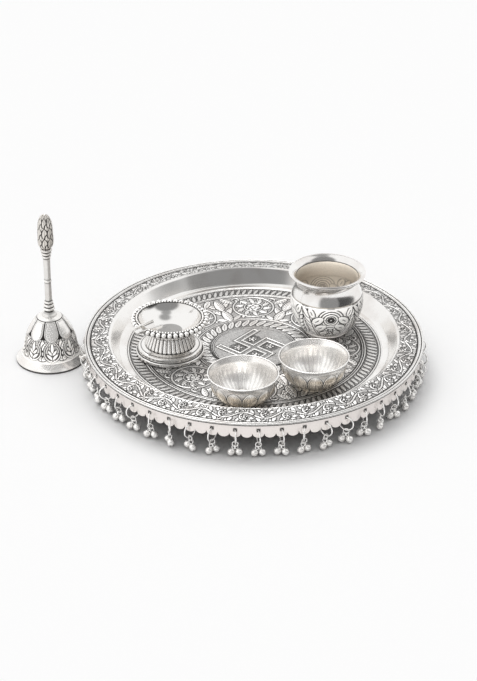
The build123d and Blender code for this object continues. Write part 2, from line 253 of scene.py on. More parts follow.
class Chased:
    """Heights of chased work over points in millimetres. length is that of one repeat."""

    def __init__(self, x, y, ground=GROUND, length=0.0):
        self.x, self.y = x, y
        self.h = np.full(np.broadcast(x, y).shape, ground)
        self.length = length
        self.outline = OUTLINE
        self.shift, self.turn = 0.0, 0.0

    def local(self, x0, y0, angle):
        if self.turn:
            c, s = cos(self.turn), sin(self.turn)
            x0, y0 = c * x0 - s * y0, s * x0 + c * y0
            angle += self.turn
        c, s = cos(angle), sin(angle)
        dx, dy = self.x - x0 - self.shift, self.y - y0
        return c * dx + s * dy, c * dy - s * dx

    def lay(self, inside, top, outline=None, bevel=EDGE_BEVEL):
        """Lay work over what is there. inside is the distance in from its edge."""
        outline = self.outline if outline is None else outline
        self.h = np.where(inside > -outline, top * ease(inside / bevel), self.h)

    def leaf(self, x0, y0, angle_deg, length, width, top=1.0, rib=0.35, veins=0.0, blunt=0.75):
        """A leaf from its stalk. rib is its midrib's depth, and veins the distance from vein to vein."""
        u, v = self.local(x0, y0, radians(angle_deg))
        p = np.clip(u / length, 0, 1)
        half = 0.5 * width * np.sin(pi * p**0.8) ** blunt
        over = np.maximum(-u, u - length)
        inside = np.where(over > 0, -np.hypot(over, v), half - np.abs(v))
        level = top * (0.78 + 0.22 * (1 - (v / np.maximum(half, 0.1)) ** 2))
        level = level - rib * ridge(v, 0.3) * ease((p - 0.05) / 0.1) * ease((0.92 - p) / 0.1)
        if veins:
            stripe = 0.5 + 0.5 * np.cos(2 * pi * (u - 0.8 * np.abs(v)) / veins)
            level = level - 0.75 * stripe**4 * ease(inside / 0.6)
        self.lay(inside, level)

    def away(self, x0, y0):
        return np.hypot(*self.local(x0, y0, 0))

    def dot(self, x0, y0, radius, top=1.0):
        self.lay(radius - self.away(x0, y0), top)

    def ring(self, x0, y0, radius, half_width):
        self.lay(half_width - np.abs(self.away(x0, y0) - radius), 1.0)

    def hollow(self, x0, y0, radius, level):
        """Clear a round ground for what is laid next."""
        self.h = np.where(self.away(x0, y0) < radius, level, self.h)

    def stroke(self, points, start_w, end_w, top=0.95, outline=None):
        inside = np.full(self.h.shape, -np.inf)
        count = len(points) - 1
        for k, ((xa, ya), (xb, yb)) in enumerate(zip(points, points[1:])):
            run = math.hypot(xb - xa, yb - ya)
            u, v = self.local(xa, ya, math.atan2(yb - ya, xb - xa))
            away = np.hypot(u - np.clip(u, 0, run), v)
            width = start_w + (end_w - start_w) * (k + 0.5) / count
            inside = np.maximum(inside, width - away)
        self.lay(inside, top, outline)

    def curl(self, x0, y0, radius, start_deg, turns, hand, width):
        """A stroke that winds in towards its middle."""
        points = []
        for t in np.linspace(0, 1, 19):
            dx, dy = polar(radius * (1 - 0.8 * t), start_deg + hand * 360 * turns * t)
            points.append((x0 + dx, y0 + dy))
        self.stroke(points, width, 0.5 * width)
        self.dot(x0, y0, 0.22 * radius)

    def flower(self, x0, y0, radius, petals, start_deg=0.0, eye=0.3):
        width = min(2.3 * radius * math.tan(pi / petals), 0.8 * radius)
        for k in range(petals):
            self.leaf(x0, y0, start_deg + k * 360 / petals, radius, width, rib=0.25, blunt=0.5)
        self.dot(x0, y0, eye * radius)


def chased_round(draw, rows, cols, repeats, radius=None, ground=GROUND):
    """Heights of work that repeats round the axis, drawn unrolled at a radius or flat on the floor."""
    count = cols // repeats
    angle = (np.arange(count) - count / 2) * 2 * pi / cols
    rows = rows[:, None]
    if radius is None:
        f = Chased(rows * np.cos(angle), rows * np.sin(angle), ground)
    else:
        f = Chased(angle * radius, rows, ground, 2 * pi * radius / repeats)
    # One repeat, with its neighbours on both sides
    for k in (-1, 0, 1):
        f.shift = k * f.length
        f.turn = k * 2 * pi / repeats if radius is None else 0.0
        draw(f)
    return np.tile(f.h, (1, repeats))


# Materials

WHITE = (1, 1, 1, 1)
BRIGHT = (0.93, 0.917, 0.897, 1)
SOFT = (0.79, 0.745, 0.73, 1)
TARNISHED = (0.80, 0.765, 0.735, 1)
WARM = (0.80, 0.72, 0.61, 1)
BLACKENED_AND_SHADE = (0.030, 0.028, 0.026, 1)


class Nodes:
    """The nodes of a material or a world. Each call adds a node and gives one of its outputs."""

    def __init__(self, owner):
        owner.use_nodes = True
        self.tree = owner.node_tree
        self.tree.nodes.clear()

    def add(self, kind, output=None, inputs=None, **settings):
        """Each input is a value or another node's output."""
        node = self.tree.nodes.new(f"ShaderNode{kind}")
        for key, value in settings.items():
            setattr(node, key, value)
        for key, value in (inputs or {}).items():
            if isinstance(value, bpy.types.NodeSocket):
                self.tree.links.new(value, node.inputs[key])
            else:
                node.inputs[key].default_value = value
        return node.outputs[output] if output else None

    def mix(self, factor, a, b):
        return self.add("Mix", "Result", {"Factor": factor, "A": a, "B": b}, data_type="RGBA")

    def math(self, operation, *values):
        return self.add("Math", "Value", dict(enumerate(values)), operation=operation)

    def ranged(self, value, low, high, to_low=0.0, to_high=1.0):
        """A value carried from one range to another."""
        ends = {"From Min": low, "From Max": high, "To Min": to_low, "To Max": to_high}
        return self.add("MapRange", "Result", {"Value": value, **ends})

    def noise(self, scale, detail):
        place = self.add("TexCoord", "Object")
        return self.add("TexNoise", "Fac", {"Vector": place, "Scale": scale, "Detail": detail})

    def bump(self, height, strength, distance, **over):
        given = {"Height": height, "Strength": strength, "Distance": distance, **over}
        return self.add("Bump", "Normal", given)

    def end_material(self, **inputs):
        """End with the shader, whose inputs' names have underscores for spaces here."""
        named = {key.replace("_", " "): value for key, value in inputs.items()}
        self.add("OutputMaterial", inputs={"Surface": self.add("BsdfPrincipled", "BSDF", named)})


def silver(name, rough, metal, bright=BRIGHT, dents=0.12, stipple=0.0):
    """Silver that is blackened in its chasing's ground and darkened as painted shade where a piece marks it,
    with uneven polish and a trace of warm tarnish.
    """
    material = bpy.data.materials.new(name)
    nodes = Nodes(material)
    worn = nodes.add("Attribute", "Fac", attribute_name="worn")
    warm = nodes.add("Attribute", "Fac", attribute_name="warm")
    cloud = nodes.noise(38.0, 4.0)
    grain = nodes.noise(900.0, 2.0)

    tarnish = nodes.mix(nodes.ranged(cloud, 0.46, 0.72), bright, TARNISHED)
    glow = nodes.mix(warm, tarnish, WARM)
    # Low values blacken the chasing's ground, and give painted shade where a piece is marked for it
    lift = nodes.ranged(worn, 0.05, 0.80)
    matting = nodes.ranged(grain, 0.35, 0.65, -stipple, stipple)
    colour = nodes.mix(nodes.math("ADD", matting, lift), BLACKENED_AND_SHADE, glow)
    handled = nodes.math("MULTIPLY_ADD", cloud, 0.10, nodes.ranged(lift, 0.0, 1.0, 0.55, rough))

    normal = nodes.bump(grain, 0.06, 0.0001, Normal=nodes.bump(cloud, dents, 0.0004))
    nodes.end_material(Base_Color=colour, Metallic=metal, Roughness=handled, Normal=normal)
    return material


def cast_silver():
    """Cloudy cast silver, for the two solids that show as they are."""
    material = bpy.data.materials.new("cast_silver")
    nodes = Nodes(material)
    cloud = nodes.noise(300.0, 4.0)
    colour = nodes.add("ValToRGB", "Color", {"Fac": cloud})
    dark, bright = colour.node.color_ramp.elements
    dark.position, dark.color = 0.3, (0.30, 0.28, 0.26, 1)
    bright.position, bright.color = 0.62, (0.80, 0.78, 0.75, 1)
    rough = nodes.ranged(cloud, 0.0, 1.0, 0.5, 0.22)
    normal = nodes.bump(cloud, 0.25, 0.0002)
    nodes.end_material(Base_Color=colour, Metallic=1.0, Roughness=rough, Normal=normal)
    return material


CHASED = silver("chased_silver", 0.22, 0.55, stipple=0.14)
FROSTED = silver("frosted_silver", 0.26, 0.22, stipple=0.05)
POLISHED = silver("polished_silver", 0.10, 1.0, dents=0.08)
BRUSHED = silver("brushed_silver", 0.18, 0.75, dents=0.12)
PLAIN = silver("plain_silver", 0.24, 0.75, bright=SOFT, dents=0.9)
FRINGE = silver("fringe_silver", 0.18, 0.72, dents=0.3)
CAST = cast_silver()


# Tray plate: the rim's scroll, and rings of ornament on the floor from the wall inwards

RIM_BAND = (119.8, 135.5)
RIM_DRAWN_R = 128.0
RIM_REPEATS = 24
RIM_COLS = RIM_REPEATS * 66
BEAD_R = 0.9

BORDER_R = 106.5
BORDER_EDGE_R = 104.4     # plain from here to the wall
BORDER_BAND = (93.4, 102.4)
BORDER_STALK_R = 93.6
BORDER_DRAWN_R = 97.9
BORDER_LEAVES = 120
ZONE_R = 88.6
ZONE_REPEATS = 8
ZONE_COLS = 1280
WREATH_R = 48.4
WREATH_BAND = (36.6, 46.6)
WREATH_STALK_R = 36.2
WREATH_DRAWN_R = 41.5
WREATH_LEAVES = 40
MEDAL_R = 35.2
MEDAL_FIELD_R = 33.2
MEDAL_COLS = 680
DEEP_GROUND = 0.1

# Raised circles between the rings, each a radius and half a width
BORDER_CIRCLES = ((103.9, 0.7), (92.0, 0.6), (90.2, 0.45))
ZONE_CIRCLES = ((48.2, 0.62), (46.6, 0.4))
MEDAL_CIRCLES = ((35.4, 0.75), (33.6, 0.4))

SCROLL_LEAF = {"rib": 0.5, "blunt": 0.55}
VEINED_LEAF = {"rib": 0.5, "veins": 2.6}
PALMETTE_LEAF = {"rib": 0.6, "veins": 2.6}


def draw_rim(f):
    """A running scroll with a curled flower in each bend and leaves on both sides."""
    middle, sway = 7.9, 3.3
    for side in (-1, 1):
        x = -side * f.length / 4
        for lean, size in ((14, 7.0), (48, 5.4), (90, 4.6), (132, 5.4), (166, 7.0)):
            f.leaf(x, middle + side * 2.6, side * lean, size, 3.1, **SCROLL_LEAF)
        for step in (-1, 1):
            lean = side * (90 + 22 * step)
            f.leaf(x + step * f.length * 0.21, middle + side * 1.2, lean, 6.6, 3.2, **SCROLL_LEAF)
    wave = [(f.length * k / 24 - f.length / 2, middle + sway * sin(2 * pi * k / 24)) for k in range(25)]
    f.stroke(wave, 0.8, 0.8)
    for side in (-1, 1):
        x, y = -side * f.length / 4, middle - side * 1.9
        for lean in (-158, -124, -90, -56, -22):
            dx, dy = polar(3.2, side * lean)
            f.leaf(x + dx, y + dy, side * (lean + 20), 4.6, 2.9, rib=0.4, blunt=0.5)
        f.hollow(x, y, 4.4, 0.32)
        f.curl(x, y, 4.2, side * 110, 1.0, side, 0.75)
        f.flower(x, y, 2.7, 5, 18 * side, 0.4)


def draw_border_leaf(f):
    f.leaf(1.9, 0.1, 112, 9.4, 3.4, top=0.60, rib=0.0, blunt=0.45)


def draw_wreath_leaf(f):
    f.leaf(0.55 * f.length, 0.9, 128, 11.2, 5.0, rib=0.9, blunt=0.45)


def draw_flower_zone(f):
    """One roundel with its flower, and half of the leaf columns on both sides of it."""
    half_repeat = 180 / ZONE_REPEATS
    for a in (-half_repeat, half_repeat):
        for distance, lean in ((60.0, 40), (72.0, 46)):
            for side in (-1, 1):
                f.leaf(*polar(distance, a), a + side * lean, 14.0, 5.8, **VEINED_LEAF)
        for side in (-1, 1):
            f.leaf(*polar(88.8, a + side * 3.0), a + 180 - side * 36, 14.5, 5.6, **VEINED_LEAF)
            f.curl(*polar(83.6, a + side * 12.2), 3.6, a - side * 60, 1.1, side, 0.85)
            f.leaf(*polar(50.4, a + side * 3.0), a + side * 62, 9.6, 4.4, rib=0.5)
            f.dot(*polar(53.2, a + side * 13.2), 1.5)
        for distance, size in ((49.0, 20.0), (68.0, 19.5)):
            f.leaf(*polar(distance, a), a, size, 8.2, **PALMETTE_LEAF)
    x, y = 70.0, 0.0
    f.hollow(x, y, 18.4, 0.10)
    f.ring(x, y, 17.2, 0.85)
    f.hollow(x, y, 15.8, 0.34)
    for a in range(0, 360, 36):
        dx, dy = polar(8.4, a)
        f.leaf(x + dx, y + dy, a + 26, 7.6, 3.9, rib=0.5, blunt=0.5)
        dx, dy = polar(13.3, a + 20)
        f.dot(x + dx, y + dy, 0.9)
    f.hollow(x, y, 8.4, 0.2)
    f.ring(x, y, 7.6, 0.6)
    f.flower(x, y, 6.2, 7, 0, 0.34)


def draw_medallion(f):
    """The right-facing swastika of a puja thali, with four florets, on a matted ground."""
    arm, hook, half_bar, start_deg = 17.0, 21.5, 2.25, 50
    for k in range(4):
        x, y = polar(13.2, 5 + 90 * k)
        f.hollow(x, y, 7.6, 0.16)
        f.flower(x, y, 3.6, 5, 0, 0.42)
    away = np.full(f.h.shape, np.inf)
    for k in range(4):
        a = start_deg + 90 * k
        corner = polar(arm, a)
        end = np.add(corner, polar(hook, a - 90))
        for (xa, ya), (xb, yb) in (((0, 0), corner), (corner, end)):
            run = math.hypot(xb - xa, yb - ya)
            u, v = f.local(xa, ya, math.atan2(yb - ya, xb - xa))
            away = np.minimum(away, np.maximum(np.abs(u - np.clip(u, 0, run)), np.abs(v)))
    f.h = np.where(away < half_bar + 1.6, np.where(away < half_bar, GROUND, 0.0), f.h)
    f.lay(0.95 - np.abs(away - half_bar), 1.0, outline=0.3, bevel=0.35)


def floor_ring(rows, h, circles):
    """A flat ring of the floor, with raised circles laid over its work, and the heights of it all."""
    for at, half_width in circles:
        inside = half_width - np.abs(rows[:, None] - at)
        h = np.where(inside > -0.45, ease(inside / 0.4), h)
    flat = np.stack([rows, np.full(len(rows), FLOOR_Z)], 1)
    return turned(flat, h.shape[1], (h - 1) * CHASE_DEPTH), h


def leaf_border():
    rows = np.linspace(BORDER_R, ZONE_R, 44)
    cols = BORDER_LEAVES * 14
    leaves = chased_round(draw_border_leaf, rows - BORDER_STALK_R, cols, BORDER_LEAVES, BORDER_DRAWN_R)
    r = rows[:, None]
    low, high = BORDER_BAND
    h = np.where((r > low) & (r < high), leaves, DEEP_GROUND)
    return floor_ring(rows, np.where(r > BORDER_EDGE_R, 1.0, h), BORDER_CIRCLES)


def flower_zone():
    """Roundels and palmettes, with a wreath of leaves inside them."""
    rows = np.linspace(ZONE_R, MEDAL_R, 134)
    flowers = chased_round(draw_flower_zone, rows, ZONE_COLS, ZONE_REPEATS, ground=0.40)
    outwards = rows - WREATH_STALK_R
    wreath = chased_round(draw_wreath_leaf, outwards, ZONE_COLS, WREATH_LEAVES, WREATH_DRAWN_R)
    r = rows[:, None]
    low, high = WREATH_BAND
    h = np.where(r > WREATH_R, flowers, DEEP_GROUND)
    grid, h = floor_ring(rows, np.where((r > low) & (r < high), wreath, h), ZONE_CIRCLES)
    return spun_about(grid, "Z", -180 / ZONE_REPEATS), h


def medallion():
    rows = np.linspace(MEDAL_R, 0.25, 96)
    r = rows[:, None]
    angle = np.arange(MEDAL_COLS) * 2 * pi / MEDAL_COLS
    f = Chased(r * np.cos(angle), r * np.sin(angle), 0.40)
    draw_medallion(f)
    return floor_ring(rows, np.where(r > MEDAL_FIELD_R, GROUND, f.h), MEDAL_CIRCLES)


def make_plate():
    """The chased tray and, apart from it, the smooth wall between its rim and its floor."""
    edge_r = PLATE_R - 0.15
    under = [
        (0.5, FLOOR_Z - SHEET), (FLOOR_R + 0.75, FLOOR_Z - SHEET), (RIM_INNER_R + 0.6, RIM_TOP_Z - 1.2),
        (PLATE_R - LAND_W - 0.1, UNDER_Z), (edge_r, UNDER_Z),
    ]
    edge = np.vstack([
        [(edge_r, UNDER_Z), (PLATE_R, UNDER_Z + 0.3), (PLATE_R, UNDER_Z + 0.8)],
        arc((PLATE_R - BEAD_R, LAND_Z), BEAD_R, 0, 180),
        arc((PLATE_R - 3.0, LAND_Z), BEAD_R, 0, 180),
    ])
    slope = [
        (PLATE_R - 4.0, LAND_Z), (PLATE_R - LAND_W, LAND_Z), (RIM_INNER_R, RIM_TOP_Z),
        (FLOOR_R, FLOOR_Z), (BORDER_R, FLOOR_Z),
    ]
    profile = np.vstack([even(edge, 0.36), even(bent(slope, [1.2, 3.0, 3.5]), 0.52)])
    low, high = RIM_BAND
    last = int(np.argmax(profile[:, 0] < low - 0.1)) + 1
    wall = turned(profile[last - 1:], 480)
    profile = profile[:last]
    r, z = profile[:, :1], profile[:, 1:]
    outwards = np.clip(profile[:, 0], low, high) - low
    scroll = chased_round(draw_rim, outwards, RIM_COLS, RIM_REPEATS, RIM_DRAWN_R, 0.34)
    h = 1 + (scroll - 1) * ease((r - low) / 0.6) * ease((high - r) / 0.6)
    # Painted shade: dark lines in the grooves beside the edge beads, and a painted shadow line down the outer
    # edge above the skirt
    groove_shade = np.where((np.abs(r - PLATE_R + 1.95) < 0.35) | (np.abs(r - PLATE_R + 5.0) < 0.55), 0.0, 1.0)
    groove_shade[(r > PLATE_R - 1) & (z < LAND_Z - 0.3)] = 0.1
    parts = [
        # The underside is painted dark, as painted shade under the tray
        (turned(even(bent(under, [4.5, 2.0, 4.0]), 2.0), 288), 0.25),
        (turned(profile, RIM_COLS, (h - 1) * CHASE_DEPTH), np.minimum(h, groove_shade)),
        leaf_border(),
        flower_zone(),
        medallion(),
    ]
    return make_mesh("thali_plate_chased", *zip(*parts)), make_mesh("thali_wall_polished", [wall])


plate_mesh, wall_mesh = make_plate()
tray_piece = add_piece(plate_mesh, "tray", ["thali_plate"], CHASED)
wall_piece = add_piece(wall_mesh, "tray", [], POLISHED)


# Foot ring

def make_foot_ring():
    section = [
        (76.0, 17.8), (81.8, 17.8), (82.0, 17.2), (82.05, 2.5), (82.0, 0.2), (82.3, 0.0), (85.6, 0.0),
        (86.0, 0.4), (86.0, 2.1), (85.5, 2.5), (83.4, 2.7), (83.0, 19.0), (76.0, 19.0), (76.0, 17.8),
    ]
    # The ring is painted darker, as painted shade under the tray
    return make_mesh("foot_ring_spun", [turned(even(section, 0.5), 256)], [0.5])


add_piece(make_foot_ring(), "tray", ["foot_ring"], PLAIN)


# Scalloped skirt with its holes

SKIRT_SHEET = 0.8
SCALLOP_H = 3.4
HOLE_R = 1.15
HOLE_DOWN = 4.5
FRAME_W = 2.2       # half the side of the square of faces round a hole


def make_skirt():
    """The band with its holes, as one welded sheet of faces."""
    half_lobe = pi * SKIRT_R / (2 * DROPS)
    hole_z = UNDER_Z - HOLE_DOWN
    sides = 32
    eighth = sides // 8
    stations = [FRAME_W * math.tan(2 * pi * k / sides) for k in range(-eighth, eighth + 1)]
    points, faces, shade, store = [], [], [], {}

    def from_lobe(u):
        """Distance from the middle of the nearest lobe, as a share of half its width."""
        return abs((u + half_lobe) % (2 * half_lobe) - half_lobe) / half_lobe

    def vertex(angle, u, z, worn=1.0):
        turns = (angle * SKIRT_R + u) / (2 * pi * SKIRT_R)
        key = (round(turns * 1e6) % 1000000, round(z * 1e4))
        if key not in store:
            store[key] = len(points)
            a = angle + u / SKIRT_R - pi / 2
            low = min(1.0, max(0.0, (UNDER_Z - z) / SKIRT_H))
            r = SKIRT_R + 0.45 * low * (1 - from_lobe(u) ** 2) - 0.25 * low
            points.append((r * cos(a), r * sin(a), z))
            shade.append(worn)
        return store[key]

    def heights(u):
        """From the top past a frame to the lower edge, with a lobe under each hole and one between."""
        start = hole_z - FRAME_W
        edge = UNDER_Z - SKIRT_H + SCALLOP_H * (1 - math.sqrt(max(0.0, 1 - from_lobe(u) ** 2)))
        below = [start + (edge - start) * k / 5 for k in range(1, 6)]
        return [UNDER_Z] + [hole_z - s for s in stations] + below

    # Faces between each hole and a square frame, black at the hole's edge as painted shade inside the hole
    frame_line, hole_line = [], []
    for k in range(sides):
        a = 2 * pi * k / sides + pi / 4
        square = FRAME_W / max(abs(cos(a)), abs(sin(a)))
        frame_line.append((square * cos(a), hole_z + square * sin(a)))
        hole_line.append((HOLE_R * cos(a), hole_z + HOLE_R * sin(a)))
    # Uprights over one frame and on to the next, with one at each end of a lobe
    uprights = np.concatenate([
        stations[:-1],
        np.linspace(FRAME_W, half_lobe, 4, endpoint=False),
        np.linspace(half_lobe, 3 * half_lobe, 12, endpoint=False),
        np.linspace(3 * half_lobe, 4 * half_lobe - FRAME_W, 5),
    ])
    for drop in range(DROPS):
        angle = radians(FIRST_DROP_DEG) + drop * 2 * pi / DROPS
        for k in range(sides):
            n = (k + 1) % sides
            # The hole's edge gets 0: painted shade fading out towards the frame
            ring = ((hole_line[k], 0.0), (frame_line[k], 1.0), (frame_line[n], 1.0), (hole_line[n], 0.0))
            faces.append([vertex(angle, *p, worn) for p, worn in ring])
        for column, (u0, u1) in enumerate(zip(uprights, uprights[1:])):
            left, right = heights(u0), heights(u1)
            for k in range(len(left) - 1):
                if column < len(stations) - 1 and 0 < k < len(stations):
                    continue
                corners = ((u0, left[k + 1]), (u1, right[k + 1]), (u1, right[k]), (u0, left[k]))
                faces.append([vertex(angle, *p) for p in corners])
    mesh = bpy.data.meshes.new("rim_skirt_pierced")
    mesh.from_pydata((np.array(points) * MM).tolist(), [], faces)
    mesh.shade_smooth()
    mark(mesh, worn=shade, warm=np.full(len(shade), 0.12))
    mesh.validate()
    return mesh


skirt = add_piece(make_skirt(), "tray", ["rim_skirt"], PLAIN)
sheet = skirt.modifiers.new("sheet", "SOLIDIFY")
sheet.thickness = SKIRT_SHEET * MM
sheet.offset = 0.0
crisp = skirt.modifiers.new("crisp_edges", "EDGE_SPLIT")
crisp.split_angle = radians(40)


# Fringe drops

RING_R, RING_WIRE = 5.8, 0.575
LINK_R, LINK_WIRE = 2.3, 0.4
LOOP_R, LOOP_WIRE = 1.6, 0.35
WIRE_GAP = 0.2
GHUNGROO_R = 2.9
WIRE_Z = 23.775

# Seven ways of hanging: the lower part's twist, the ring's sway and the ghungroos' lean, in degrees
DROP_FORMS = ((8, 12, 0), (-28, -24, 5), (20, 26, -4), (-16, 8, 2), (38, -20, -6), (-40, 36, 6), (16, -22, 2))


def ghungroo_grids():
    """A slit ball on its loop, hung from the origin, with painted shade in the ball's slit and a dark seam
    round the ball.
    """
    loop_z = -(LOOP_R - LOOP_WIRE - LINK_WIRE - WIRE_GAP)
    ball_z = loop_z - LOOP_R - LOOP_WIRE + 0.25 - GHUNGROO_R
    loop = spun_about(ring_grid(LOOP_R, LOOP_WIRE, 20, 8), "Y", 90) + (0, 0, loop_z)
    # The ball's poles lie at the ends of the slit
    slit_half, slit_bottom, slit_reach = 0.36, 0.52, 0.86
    lean = math.asin(slit_half / GHUNGROO_R)
    inner = math.asin(0.9 * slit_half / GHUNGROO_R)
    turn = np.concatenate([[-lean, -inner, inner, lean], np.linspace(lean, 2 * pi - lean, 26)[1:-1]])
    deep = np.concatenate([[1, slit_bottom, slit_bottom, 1], np.ones(24)])
    along = np.linspace(0, pi, 19)[:, None]
    open_part = (np.abs(np.cos(along)) < slit_reach).astype(float)
    reach = GHUNGROO_R * (1 - (1 - deep) * open_part)
    out = reach * np.sin(along)
    ball = np.stack([reach * np.cos(along), -out * np.sin(turn), -out * np.cos(turn)], 2)
    narrow = 1.0 - 0.20 * np.clip(ball[..., 2:] / GHUNGROO_R, 0, 1) ** 2
    ball = ball * np.concatenate([narrow, narrow, np.full_like(narrow, 1.12)], 2)
    # Painted shade in the slit, where the hollow ball would show its dark inside; the ridge below is a dark
    # seam round its middle
    dark = np.where(deep < 1, 1 - 0.95 * open_part, 1.0)
    dark = np.minimum(dark, 1 - 0.55 * ridge(ball[..., 2], 0.16))
    return [loop, ball[::-1] + (0, 0, ball_z)], [None, dark[::-1]]


def make_drop(name, twist, sway, lean):
    """A drop whose ring is at the origin's front. The lower part hangs with a twist."""
    ring_z = WIRE_Z - RING_R
    link_z = ring_z - RING_R - (LINK_R - LINK_WIRE - RING_WIRE - WIRE_GAP)
    ring = spun_about(spun_about(ring_grid(RING_R, RING_WIRE, 40, 10), "Y", 90), "Z", sway)
    lower = [spun_about(ring_grid(LINK_R, LINK_WIRE, 24, 8), "X", 90)]
    worn = [None, None]
    hung, dark = ghungroo_grids()
    for side in (-1, 1):
        for grid in hung:
            grid = spun_about(grid, "Z", 35 * side + lean) + (0, 0, -LINK_R)
            lower.append(spun_about(grid, "Y", 24 * side + 0.4 * lean))
        worn += dark
    grids = [ring + (0, -SKIRT_R, ring_z)]
    for grid in lower:
        grids.append(spun_about(grid, "Z", twist) + (0, -SKIRT_R, link_z))
    return make_mesh(name, grids, worn)


drop_meshes = [make_drop(f"fringe_drop_form_{k + 1}", *form) for k, form in enumerate(DROP_FORMS)]
for k in range(DROPS):
    label = f"fringe_drop_{k + 1:02d}"
    mesh = drop_meshes[(k * 3 + k // 7) % len(drop_meshes)]
    turn = Matrix.Rotation(radians(FIRST_DROP_DEG + k * 360 / DROPS), 4, "Z")
    add_piece(mesh, label, [label], FRINGE, f"{label}_hung", turn)


# Kalash

KALASH_H = 54.4
KALASH_SHOULDER_Z = 34.3     # where the chasing ends and the polished neck begins
KALASH_THROAT_Z = 49.4       # where the polished lip begins inside
KALASH_DRAWN_R = 27.5
KALASH_REPEATS = 4
KALASH_COLS = KALASH_REPEATS * 132
KALASH_TURN_DEG = -130


def draw_kalash(f):
    """A rosette between two lobed leaves, which feather out on their far sides."""
    rosette_y = 24.0
    stem = ((10.4, 1.0), (13.0, 11.0), (14.8, 20.0), (17.2, 31.0))
    lobes = (
        (9.6, 5.2, 58, 9.0, 5.6), (12.4, 12.0, 56, 10.5, 6.6),
        (14.2, 19.2, 50, 10.5, 6.6), (13.6, 25.6, -26, 8.6, 5.2),
    )
    f.outline = 0.72
    for side in (-1, 1):
        for k in range(6):
            f.leaf(side * (12.4 + 0.9 * k), 1.6 + 4.6 * k, 90 - side * 36, 12.0, 3.6, rib=0.0, blunt=0.5)
    f.leaf(f.length / 2, 6, 90, 24, 3.6, rib=0.6)
    for radius in (9.8, 7.7, 5.6, 3.6):
        f.dot(0, rosette_y, radius)
    f.dot(0, rosette_y, 2.3, top=0.05)
    f.dot(0, rosette_y, 0.7)
    for side in (-1, 1):
        f.stroke([(side * x, y) for x, y in stem], 0.9, 0.6)
        for x, y, lean, size, wide in lobes:
            a = 90 + side * lean
            f.leaf(side * x, y, a, size, wide, rib=0.0, blunt=0.42)
            dx, dy = polar(size, a)
            vein = [(side * x + share * dx, y + share * dy) for share in (0.25, 0.6)]
            f.stroke(vein, 0.4, 0.4, top=0.1, outline=0.0)
    f.flower(0, 9.2, 3.2, 6)
    for x, y in ((-5.0, 3.6), (5.0, 3.6), (0, 2.8), (-3.4, 13.4), (3.4, 13.4)):
        f.dot(x, y, 1.1)


def kalash_chasing(line):
    return chased_round(draw_kalash, run_along(line), KALASH_COLS, KALASH_REPEATS, KALASH_DRAWN_R, 0.82)


def make_kalash():
    """The chased body, inside and out, and the polished neck and lip."""
    points = np.array([(19.4, 1.8), (30.5, 0.52 * KALASH_H), (26.0, 0.85 * KALASH_H), (31.4, 53.6)])
    directions = [(1.0, 0.9), (0, 1), (0, 1), (1.0, 0.4)]
    inside = points + VESSEL_SHEET * to_the_left(directions)
    floor_r, floor_z = inside[0]
    under_z = floor_z - VESSEL_SHEET
    under = [(0.4, under_z), (17.8, under_z), (17.8, 0.2), (18.0, 0.0), (19.2, 0.0), (19.4, 0.3)]
    outside = smooth_line(points, directions)
    groove = np.searchsorted(outside[:, 1], KALASH_SHOULDER_Z)
    lower = even(outside[:groove], 0.36)
    over = np.vstack([even(outside[groove:], 0.7), arc((30.8, 52.9), 1.4, -125, 120, 16)])

    # A raised line under the shoulder, and a cut above it
    down = run_along(lower)[-1] - run_along(lower)[:, None]
    h = np.maximum(kalash_chasing(lower), ridge(1.5 - down, 0.5)) * ease(down / 0.5)

    # Inside, from the lip down, with the chasing showing faintly from behind
    within = even(smooth_line(inside, directions), 0.5)
    low_part = ease((36.0 - within[::-1, 1:]) / 2.0)
    back = kalash_chasing(within)[::-1] * low_part
    within = within[::-1]
    throat = int(np.argmax(within[:, 1] < KALASH_THROAT_Z))
    flare = within[:throat + 1]
    # Painted shade: a dark band on the lip just above the throat, round the mouth's opening
    flare_worn = np.where(flare[:, 1:] < KALASH_THROAT_Z + 0.7, 0.15, 1.0)
    hollow = np.array([(floor_r, floor_z), (9, floor_z), (0.4, floor_z)])
    grids = [
        turned(even(under, 1.0), KALASH_COLS // 2),
        turned(lower, KALASH_COLS, (h - 1) * 0.6 + 0.12),
        turned(within, KALASH_COLS, -0.22 * back)[throat:],
        turned(hollow, KALASH_COLS // 2),
    ]
    worn = [0.8, h, 0.66 - 0.30 * (low_part * (1 - back))[throat:], 0.7]
    warm = [0.1, 0.05, 0.9, 0.9]
    place = {"at": KALASH_AT, "turn_deg": KALASH_TURN_DEG}
    body = make_mesh("kalash_chased", grids, worn, warm, **place)
    polished = [turned(over, 256), turned(flare, 256)]
    return body, make_mesh("kalash_neck_polished", polished, [None, flare_worn], **place)


kalash_mesh, neck_mesh = make_kalash()
add_piece(kalash_mesh, "kalash", ["kalash"], FROSTED)
neck_piece = add_piece(neck_mesh, "kalash", [], POLISHED)


# Katori bowls

KATORI_H = 26.0
KATORI_FOOT_R = 14.0
KATORI_R = 28.5
KATORI_LIP = 0.6
KATORI_PETALS = 12
KATORI_FLOOR_Z = 1.0


